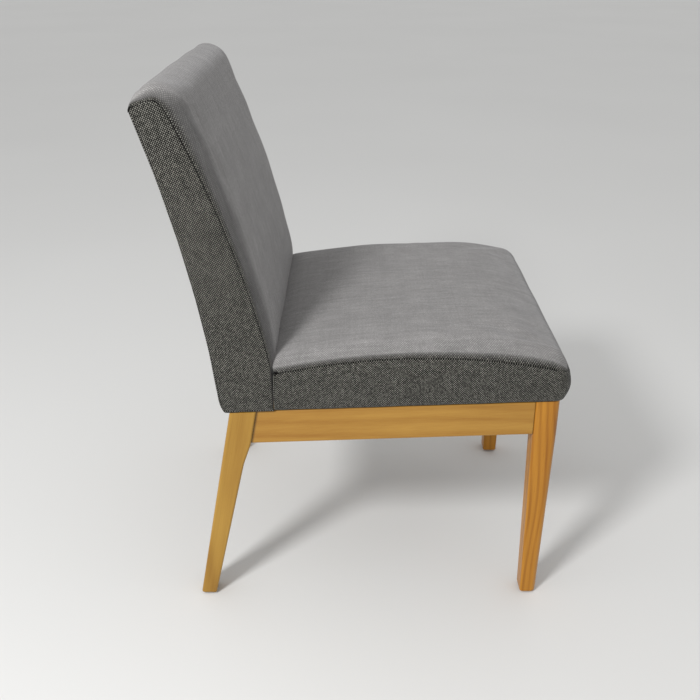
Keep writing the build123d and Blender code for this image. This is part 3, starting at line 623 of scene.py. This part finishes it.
def finish_cover(piece):
    """Two subdivisions, then each point sinks along its normal by the seam's groove, a bell of its gap
    to the seam, and by a dimple, a bell of its distance to where seat and back meet at the side. It
    wavers by sines in three directions, and by quicker ones beside the seam, where cloth puckers."""
    smooth = piece.modifiers.new("smooth", "SUBSURF")
    smooth.levels = smooth.render_levels = 2
    rounded = piece.evaluated_get(bpy.context.evaluated_depsgraph_get())
    fine = bpy.data.meshes.new_from_object(rounded)
    piece.modifiers.remove(smooth)
    piece.data = fine
    normals = np.zeros(len(fine.vertices) * 3, np.float32)
    fine.vertex_normals.foreach_get("vector", normals)
    normals = normals.reshape(-1, 3)
    places = places_of(fine)
    gap = values_of(fine, "seam")
    x, y, z = (places * 2 * pi).T
    soft = np.sin(7.3 * x + 3.1 * y + 1.0) * np.sin(8.9 * y - 4.7 * z + 0.4) + np.sin(11.7 * z - 5.9 * x)
    pucker = np.sin(43.0 * y + 37.0 * z + 3.0 * np.sin(9.0 * y)) + np.sin(29.0 * x + 23.0 * y)
    sink = GROOVE_DEPTH * np.exp(-((gap / GROOVE_WIDTH) ** 2)) + DIP_DEPTH * np.exp(-gap / DIP_REACH)
    both_sides = np.array([-SEAT_HALF, SEAT_HALF])
    joint = on_seat(both_sides, np.full(2, SEAT_REAR), np.full(2, DIMPLE_HEIGHT))
    away = np.linalg.norm(places[:, None, :] - joint, axis=-1).min(-1) * 1000
    sink = sink + DIMPLE_DEPTH * np.exp(-((away / DIMPLE_REACH) ** 2))
    lift = WAVER * soft * np.clip(gap / WAVER_FROM, 0, 1) - sink
    lift = lift + PUCKER * pucker * np.exp(-gap / PUCKER_REACH)
    places += normals * lift[:, None] / 1000
    fine.vertices.foreach_set("co", places.ravel())
    fine.polygons.foreach_set("use_smooth", np.ones(len(fine.polygons), bool))
    fine.update()


THREAD = 0.0018
DARK_THREAD, LIGHT_THREAD = (0.006, 0.006, 0.005, 1), (0.218, 0.212, 0.188, 1)
# The second pair: the worn cloth's colours, lighter partly from its pile and partly as a painted sheen.
DARK_NAP_AND_SHEEN, LIGHT_NAP_AND_SHEEN = (0.204, 0.198, 0.195, 1), (0.344, 0.335, 0.328, 1)
SEAM_SHADE_DEPTH = 0.64  # how much darker the painted shade makes the worn cloth at the seam
SHOULDER_SHADE, SHOULDER_WIDTH = 0.22, 30.0  # of a painted shade over the shoulder beside the seam


def tweed(name, brushed_and_sheen, evened, seam_shade_reach, groove_shade):
    """Two-tone basket weave on the cloth's own coordinates. Threads and checks differ in shade by white
    noise, slubs are long stretched noise, and the cells' rounding is the relief. Cloth that is sat on is
    worn smoother, and there its colours are lighter and of low contrast, partly its worn pile and partly
    a painted sheen: away from the seam they even the two tones out over the first given millimetres, a
    painted shade darkens them towards the seam over the second, and a little more over a shoulder.
    A painted shade darkens the seam's groove."""
    material, start, shader = new_finish(
        name,
        {
            "Sheen Weight": 0.15,
            "Sheen Roughness": 0.45,
            "Sheen Tint": (0.9, 0.9, 0.93, 1),
            "Specular IOR Level": 0.12,
        },
    )
    cloth = start.node("ShaderNodeUVMap", {"uv_map": "weave"}, {})
    stray = start.node("ShaderNodeTexNoise", {}, {"Vector": cloth, "Scale": 60.0, "Detail": 3.0})
    jitter = start.node("ShaderNodeTexNoise", {}, {"Vector": cloth, "Scale": 380.0, "Detail": 1.0})
    u = start.node("ShaderNodeSeparateXYZ", {}, {"Vector": cloth}, "X")
    v = start.node("ShaderNodeSeparateXYZ", {}, {"Vector": cloth}, "Y")
    u = u + (stray - 0.5) * 0.0016 + (jitter - 0.5) * 0.0012
    v = v + (stray - 0.5) * 0.0012 - (jitter - 0.5) * 0.0012
    across, along = u / THREAD, v / THREAD
    check = start.math("SINE", across * pi) * start.math("SINE", along * pi)

    def thread(position, seed):
        """One random shade for each whole thread."""
        number = start.math("FLOOR", position) + seed
        return start.node("ShaderNodeTexWhiteNoise", {"noise_dimensions": "1D"}, {"W": number})

    warp, weft = thread(across, 7.0), thread(along, 431.0)
    sockets = {"X": start.math("FLOOR", across), "Y": start.math("FLOOR", along)}
    cells = start.node("ShaderNodeCombineXYZ", {}, sockets)
    fleck = start.node("ShaderNodeTexWhiteNoise", {"noise_dimensions": "2D"}, {"Vector": cells})

    def slub(scale_u, scale_v):
        """Noise drawn out along one of the threads: its scales per metre."""
        drawn = start.node("ShaderNodeMapping", {}, {"Vector": cloth, "Scale": (scale_u, scale_v, 1.0)})
        sockets = {"Vector": drawn, "Scale": 1.0, "Detail": 3.0}
        return start.node("ShaderNodeTexNoise", {"noise_dimensions": "2D"}, sockets)

    streak = (slub(15.0, 560.0) - 0.5) * 0.16 + (slub(150.0, 20.0) - 0.5) * 0.75
    cloud = slub(24.0, 24.0) - 0.5
    fibre = start.node("ShaderNodeTexNoise", {}, {"Vector": cloth, "Scale": 2600.0, "Detail": 2.0})
    gap = start.node("ShaderNodeAttribute", {"attribute_name": "seam"}, {}, "Fac")
    # Share of the worn colours, real smoothed pile and painted sheen together, growing away from the
    # seam.
    fuzz_and_sheen = ((gap - 0.8) / evened).held() * brushed_and_sheen
    # Painted shade: the worn cloth darker towards the seam, fading out over the given millimetres.
    seam_shade = 1.0 - (1.0 - ((gap - 1.0) / seam_shade_reach).held()) ** 0.65 * SEAM_SHADE_DEPTH
    # Painted shade: a little darker again within the shoulder's width, against the light's glow there.
    seam_shade = seam_shade * (1.0 - (1.0 - gap / SHOULDER_WIDTH).held() * SHOULDER_SHADE)
    over = (check * 3.2 - 0.6 + (fleck - 0.5) * 1.5).held()
    crisp = over.mixed(DARK_THREAD, LIGHT_THREAD)
    even = over.mixed(DARK_NAP_AND_SHEEN, LIGHT_NAP_AND_SHEEN)
    shade = 1.0 + (warp - 0.5) * 0.07 + (weft - 0.5) * 0.05 + streak * 0.5 + cloud * 0.22
    # Painted shade in the seam's groove, strongest within about a millimetre and a half of the seam.
    groove = ((1.4 - gap) * 1.5).held()
    shade = (shade + (fibre - 0.5) * 0.2) * (1.0 - groove * groove_shade)
    shade.shaded(fuzz_and_sheen.mixed(crisp, seam_shade.shaded(even))).into(shader, "Base Color")
    (0.84 + (fibre - 0.5) * 0.2).into(shader, "Roughness")
    relief = start.math("ABSOLUTE", check) * (1.0 - fuzz_and_sheen * 0.6) * 0.7 + fibre * 0.3 + streak * 0.25
    relief.node(
        "ShaderNodeBump", {}, {"Strength": 0.5, "Distance": 0.0004, "Height": relief}
    ).into(shader, "Normal")
    return material


# Top panels take the worn colours with their painted sheen and painted shade; the boxing keeps the crisp
# weave.
seat_cloth = tweed("seat_cloth", brushed_and_sheen=1.0, evened=9.0, seam_shade_reach=9.0, groove_shade=0.45)
boxing_cloth = tweed("boxing_cloth", brushed_and_sheen=0.0, evened=1.0, seam_shade_reach=1.0, groove_shade=0.45)

top_x, top_s, top_n, top_weave, top_gap = seat_top()
band_points, band_weave, band_gap, band_still = seat_band(top_x, top_s, top_n)
seat_panels = [
    {
        "points": on_seat(top_x, top_s, top_n),
        "weave": top_weave,
        "gap": top_gap,
        "still": (top_gap < 0.1) | (top_s > SEAT_REAR - 2),
        "give": 4.0,
        "slot": 0,
    },
    {
        "points": band_points,
        "weave": band_weave,
        "gap": band_gap,
        "still": band_still | (band_gap < 0.1),
        "give": 1.5,
        "slot": 1,
    },
]
seat_cushion = sew("seat_cushion", seat_panels, [seat_cloth, boxing_cloth])
swell(seat_cushion)
finish_cover(seat_cushion)
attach(seat_cushion, "root")
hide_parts("seat_cover_top", "seat_boxing", "seat_foam")

# Back cushion: a roll-over pad on a curved frame. One panel runs up the inside back and over the top,
# a flat gusset closes each side, and the outside back is pulled tight to the rear edges.
# Sizes are in millimetres, heights along the rear curve and depths in front of it.
BACK_REAR = 518.0
BACK_RADIUS = 2200.0
BACK_LEAN = radians(3.5)
BACK_ROLL = 18.0
BACK_TOP = 467.0
TOP_CORNER = 20.0
TOP_RISE = 3.0
TOP_DEPTH = 47.0
REAR_CORNER = 10.0
REAR_EASE = 2.5
BOTTOM_CORNER = 12.0
BACK_CROWN, TOP_CROWN_LOSS = 4.0, 0.6
CROWN_FROM, CROWN_RISE = 62.0, 60.0
BACK_PITCH = 14.0  # between columns
BACK_FOOT = 3.0
BESIDE_SEAT = [3.0, 12.0, 24.0, 37.0, 50.0, 61.0]  # rows of the joint, above the seat line
EDGE_HEIGHTS = [70.0, 230.0, BACK_TOP - TOP_CORNER]
EDGE_DEPTHS = [88.0, 75.0, TOP_DEPTH]
BULGE_HEIGHTS = [0, 58, 88, 155, 230, 435, 460]
BULGES = [0, 2.0, 8.5, 10.0, 13.0, 24.0, 25.0]
OVER_TOP_DEPTHS = [0, 6, 14, 22, 30, TOP_DEPTH]
OVER_TOP_BULGES = [0, 4.0, 9.5, 16.0, 22.0, 25.0]
OUTSIDE_LIFT_FROM = 380.0  # where the outside back starts to follow the crown of the top
CORNER_EASE, CORNER_EASE_REACH = 2.5, 11.0  # of the seam's groove at the rear top corners


def on_back(x, h, d):
    """Points given across the chair, by the height along the back's rear curve and the depth in front
    of it. The curve is a circle about a centre far behind the chair."""
    turn = BACK_LEAN + h / BACK_RADIUS
    s = BACK_REAR + BACK_RADIUS * cos(BACK_LEAN) - (BACK_RADIUS + d) * np.cos(turn)
    n = (BACK_RADIUS + d) * np.sin(turn) - BACK_RADIUS * sin(BACK_LEAN)
    return on_seat(x + 0 * h, s, n)


def from_seat(s, n):
    """The same height and depth for points given on the seat line."""
    away = BACK_REAR + BACK_RADIUS * cos(BACK_LEAN) - s
    above = n + BACK_RADIUS * sin(BACK_LEAN)
    h = (np.arctan2(above, away) - BACK_LEAN) * BACK_RADIUS
    return h, np.hypot(above, away) - BACK_RADIUS


def gusset_edge():
    """The front and top edge of a gusset, row by row, as height, depth, the way the wrapped panel bulges
    from it, 0 forwards and a quarter turn upwards, and how far it bulges, read off a table. It stands
    straight beside the seat, follows a parabola up the back, turns a round corner, rises a little over
    the top and turns a smaller round corner down to the rear."""
    low_n = np.array(BESIDE_SEAT)
    low_s = SEAT_REAR + 0.8 + JOINT_LEAN * np.clip(1 - low_n / JOINT_HEIGHT, 0, 1)
    low_h, low_d = from_seat(low_s, low_n)
    h = np.linspace(EDGE_HEIGHTS[0], EDGE_HEIGHTS[-1], 32)
    d = np.polyval(np.polyfit(EDGE_HEIGHTS, EDGE_DEPTHS, 2), h)
    turn = np.linspace(0, pi / 2, 8)[1:]
    corner_h = BACK_TOP - TOP_CORNER + TOP_CORNER * np.sin(turn)
    corner_d = TOP_DEPTH - TOP_CORNER + TOP_CORNER * np.cos(turn)
    top_d = np.linspace(TOP_DEPTH - TOP_CORNER, REAR_CORNER, 5)[1:]
    top_h = BACK_TOP + TOP_RISE * (1 - top_d / (TOP_DEPTH - TOP_CORNER))
    rear = np.linspace(0, pi / 2, 5)[1:]
    rear_h = top_h[-1] - REAR_CORNER + REAR_CORNER * np.cos(rear)
    rear_d = REAR_CORNER - REAR_CORNER * np.sin(rear)
    heights = np.concatenate([low_h, h, corner_h, top_h, rear_h])
    depths = np.concatenate([low_d, d, corner_d, top_d, rear_d])
    way = np.concatenate([0 * low_h, 0 * h, turn, pi / 2 + 0 * top_d, pi / 2 + 0 * rear])
    bulge = np.interp(heights, BULGE_HEIGHTS, BULGES)
    bulge = np.where(way > 0, np.interp(depths, OVER_TOP_DEPTHS, OVER_TOP_BULGES), bulge)
    return heights, depths, way, bulge, len(low_n), len(low_n) + len(h)


def back_panels():
    """The panels of the back. The wrapped panel is the gusset's edge pushed out along its way by the
    bulge times what is left of the shoulder, with a low crown. The outside back follows the rear curve
    and the rolled rear edges, and the gusset is ruled from its edge to that rear edge, row for row. Its
    gap is the distance to the nearest point of its outline. A band turns in under the board round the
    bottom. The gap grows by a bell at the rear top corners, where three panels share the seam."""
    h, d, way, bulge, low, front = gusset_edge()
    row = np.arange(len(h))
    upward = (way / (pi / 2))[:, None]
    x, side, girth, side_gap = columns_over(SEAT_HALF, BACK_ROLL, BACK_ROLL, BACK_PITCH)
    left = np.sqrt(np.clip(1 - side**2, 0, 1))[None, :]
    middle = (1 - (x / SEAT_HALF) ** 2)[None, :]
    rise = np.clip((h - CROWN_FROM) / CROWN_RISE, 0, 1)[:, None]
    crown = BACK_CROWN * (1 - TOP_CROWN_LOSS * upward)
    push = bulge[:, None] * left + crown * middle * rise
    ease = np.clip((np.abs(x) - SEAT_HALF + REAR_EASE) / REAR_EASE, 0, 1)
    ease = (REAR_EASE * (1 - np.sqrt(1 - ease**2)))[None, :]
    at_rear = np.where((row > front) & (d < REAR_CORNER), 1 - d / REAR_CORNER, 0)[:, None]
    wrap_h = h[:, None] + push * np.sin(way)[:, None]
    wrap_d = d[:, None] + push * np.cos(way)[:, None] + ease * at_rear
    edge_run = np.concatenate([[0], np.cumsum(np.hypot(np.diff(h), np.diff(d)))])
    run_gap = np.broadcast_to((edge_run[-1] - edge_run)[:, None], wrap_h.shape)
    half_h, half_d = h + bulge / 2 * np.sin(way), d + bulge / 2 * np.cos(way)
    run = np.concatenate([[0], np.cumsum(np.hypot(np.diff(half_h), np.diff(half_d)))])
    wrap_gap = np.minimum(np.broadcast_to(side_gap, wrap_h.shape), run_gap)
    # Where the panel faces up the gap grows faster, so the groove, the puckers and the painted seam
    # shade end sooner.
    wrap_gap = wrap_gap + 3.0 * np.maximum(wrap_gap - SEAM_ROWS[-2], 0) * upward
    wrap_still = (wrap_gap < 0.1) | (row < low)[:, None]

    rear_h = np.concatenate([h[:front], np.linspace(h[front - 1], h[-1], len(h) - front + 1)[1:]])
    foot = from_seat(BACK_REAR, BACK_FOOT)[0]
    rear_h[:low] = np.linspace(foot, rear_h[low], low + 1)[:-1]
    lifted = np.clip((rear_h - OUTSIDE_LIFT_FROM) / (rear_h[-1] - OUTSIDE_LIFT_FROM), 0, 1)
    out_h = rear_h[:, None] + lifted[:, None] * push[-1][None, :]
    below = np.clip(BOTTOM_CORNER - rear_h, 0, BOTTOM_CORNER)
    tuck = BOTTOM_CORNER - np.sqrt(BOTTOM_CORNER**2 - below**2)
    out_d = ease + tuck[:, None] + 0 * out_h
    out_gap = np.minimum(np.broadcast_to(side_gap, out_h.shape), out_h[-1] - out_h)
    out_still = (side_gap < 0.1)[None, :] | (out_h[-1] - out_h < 0.1) | (row < 1)[:, None]

    edge_h, edge_d = out_h[:, -1], out_d[:, -1]
    span = np.hypot(edge_h - h, edge_d - d)[:, None]
    near = np.array([0, 2.6, 6.5, 13.0]) * np.minimum(1, span / 40)
    between = near[:, -1:] + (span - 2 * near[:, -1:]) * np.array([0.33, 0.67])
    share = np.concatenate([near, between, span - near[:, ::-1]], 1) / np.maximum(span, 1e-6)
    gus_h = h[:, None] + (edge_h - h)[:, None] * share
    gus_d = d[:, None] + (edge_d - d)[:, None] * share
    fine = np.linspace(0, len(h) - 1, 12 * len(h))
    line_h, line_d = np.interp(fine, row, h), np.interp(fine, row, d)
    to_seam = np.hypot(gus_h[..., None] - line_h, gus_d[..., None] - line_d).min(-1)
    gus_gap = np.minimum(to_seam, span * (1 - share))
    gus_still = (share * (1 - share) < 1e-4) | (row < 1)[:, None]
    gus_weave = np.stack([gus_d, gus_h], -1) / 1000

    both_sides = np.array([-SEAT_HALF, SEAT_HALF])
    panels = [
        {
            "points": on_back(x, wrap_h, wrap_d),
            "weave": np.stack(np.meshgrid(girth, run), -1) / 1000,
            "gap": wrap_gap,
            "still": wrap_still,
            "give": 3.5,
            "slot": 0,
        },
        {
            "points": on_back(x, out_h, out_d),
            "weave": np.stack([x + 0 * out_h, out_h], -1) / 1000,
            "gap": out_gap,
            "still": out_still,
            "give": 1.5,
            "slot": 1,
        },
    ]
    for end in both_sides:
        panels.append(
            {
                "points": on_back(np.full_like(gus_h, end), gus_h, gus_d),
                "weave": gus_weave,
                "gap": gus_gap,
                "still": gus_still,
                "give": 1.8,
                "slot": 1,
            }
        )
    top_rear = on_back(both_sides, h[[-1, -1]], np.full(2, REAR_EASE))
    for panel in panels:
        away = np.linalg.norm(panel["points"][..., None, :] - top_rear, axis=-1).min(-1) * 1000
        panel["gap"] = panel["gap"] + CORNER_EASE * np.exp(-((away / CORNER_EASE_REACH) ** 2))
    inside, outside, right_side, left_side = (panel["points"][0] for panel in panels)
    loop = np.concatenate([inside, left_side[1:], outside[-2::-1], right_side[-2::-1]])
    side_in = np.abs(loop[:, 0]) * 1000 > 0.999 * SEAT_HALF
    rear_in = loop[:, 1] > loop[:, 1].max() - 0.002
    inward = np.stack([-np.sign(loop[:, 0]) * side_in, -1.0 * rear_in, 0 * loop[:, 0]], -1)
    steps = np.array([[0, 0], [2.0, 2.1], [6.0, 2.7], [FLANGE, 2.7], [FLANGE + 0.5, 0.2]]) / 1000
    front_side = ~(side_in | rear_in)
    fall = np.where(front_side, 0.0002, steps[:, 1:])
    turned = loop + inward * steps[:, :1, None] - np.stack([0 * fall, 0 * fall, fall], -1)
    depth = np.broadcast_to(np.array([0, 3.0, 7.0, 27.0, 30.0])[:, None], turned.shape[:2])
    way_round = np.concatenate([[0], np.cumsum(np.linalg.norm(np.diff(loop, axis=0), axis=1))])
    panels.append(
        {
            "points": turned,
            "weave": np.stack([np.broadcast_to(way_round, depth.shape), depth / 1000], -1),
            "gap": depth + 20,
            "still": np.ones(depth.shape, bool),
            "give": 1.0,
            "slot": 1,
        }
    )
    return panels


back_cloth = tweed("back_cloth", brushed_and_sheen=1.0, evened=11.0, seam_shade_reach=40.0, groove_shade=0.8)
side_cloth = tweed("side_cloth", brushed_and_sheen=0.0, evened=1.0, seam_shade_reach=1.0, groove_shade=0.8)
back_cushion = sew("back_cushion", back_panels(), [back_cloth, side_cloth])
swell(back_cushion)
finish_cover(back_cushion)
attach(back_cushion, "root")
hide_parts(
    "back_cover_front",
    "back_gusset_left",
    "back_gusset_right",
    "back_cover_rear",
    "back_foam",
)


# Floor: a plain pale sheet that the glides stand on, smooth and matt,
# wide enough to fill the view.
def pale_floor():
    """Slow noise between two near-white tones."""
    material, start, shader = new_finish("pale_floor", {"Specular IOR Level": 0.2})
    place = start.node("ShaderNodeTexCoord", {}, {}, "Object")
    cloud = start.node("ShaderNodeTexNoise", {}, {"Vector": place, "Scale": 0.8, "Detail": 2.0})
    cloud.mixed((0.70, 0.70, 0.69, 1), (0.74, 0.74, 0.73, 1)).into(shader, "Base Color")
    (0.8 + cloud * 0.1).into(shader, "Roughness")
    return material


floor_half = 40.0
floor_mesh = bpy.data.meshes.new("floor")
floor_corners = np.array([(-1, -1, 0), (1, -1, 0), (1, 1, 0), (-1, 1, 0)]) * floor_half
floor_mesh.from_pydata(floor_corners, [], [(0, 1, 2, 3)])
floor_mesh.materials.append(pale_floor())
floor = bpy.data.objects.new("floor", floor_mesh)
bpy.context.scene.collection.objects.link(floor)


# Light: an even pale sky and one round lamp, above the camera and to the rear of the chair,
# so that the back throws a soft shadow on the seat.
def soft_lamp(name, place, target, size, power):
    """A disk lamp turned so that its face looks from its place to the target: it is tipped from
    straight down by the aim's slope and turned about Z by the aim's bearing."""
    lamp = bpy.data.lights.new(name, "AREA")
    lamp.shape = "DISK"
    lamp.size = size
    lamp.energy = power
    holder = bpy.data.objects.new(name, lamp)
    bpy.context.scene.collection.objects.link(holder)
    holder.location = place
    aim = np.array(target) - np.array(place)
    tip = np.arctan2(np.hypot(aim[0], aim[1]), -aim[2])
    holder.rotation_euler = (tip, 0, np.arctan2(-aim[0], aim[1]))


soft_lamp("key_lamp", place=(-1.9, 1.25, 2.05), target=(0.0, 0.0, 0.45), size=0.55, power=55.0)
world = bpy.data.worlds.new("sky")
bpy.context.scene.world = world
world.use_nodes = True
sky = world.node_tree.nodes["Background"]
sky.inputs["Color"].default_value = (1.0, 1.0, 1.0, 1)
sky.inputs["Strength"].default_value = 0.68
bpy.context.scene.view_settings.view_transform = "Standard"

# Camera: at the sitter's right side, a little above the top of the back,
# looking straight across the chair and tipped down.
CAMERA_TIP = 25.5
lens = bpy.data.cameras.new("camera")
lens.sensor_width = 36.0
lens.lens = 44.74
camera = bpy.data.objects.new("camera", lens)
bpy.context.scene.collection.objects.link(camera)
camera.location = (-1.3985, 0.0184, 1.010)
camera.rotation_euler = (radians(90 - CAMERA_TIP), 0, radians(-90))
bpy.context.scene.camera = camera
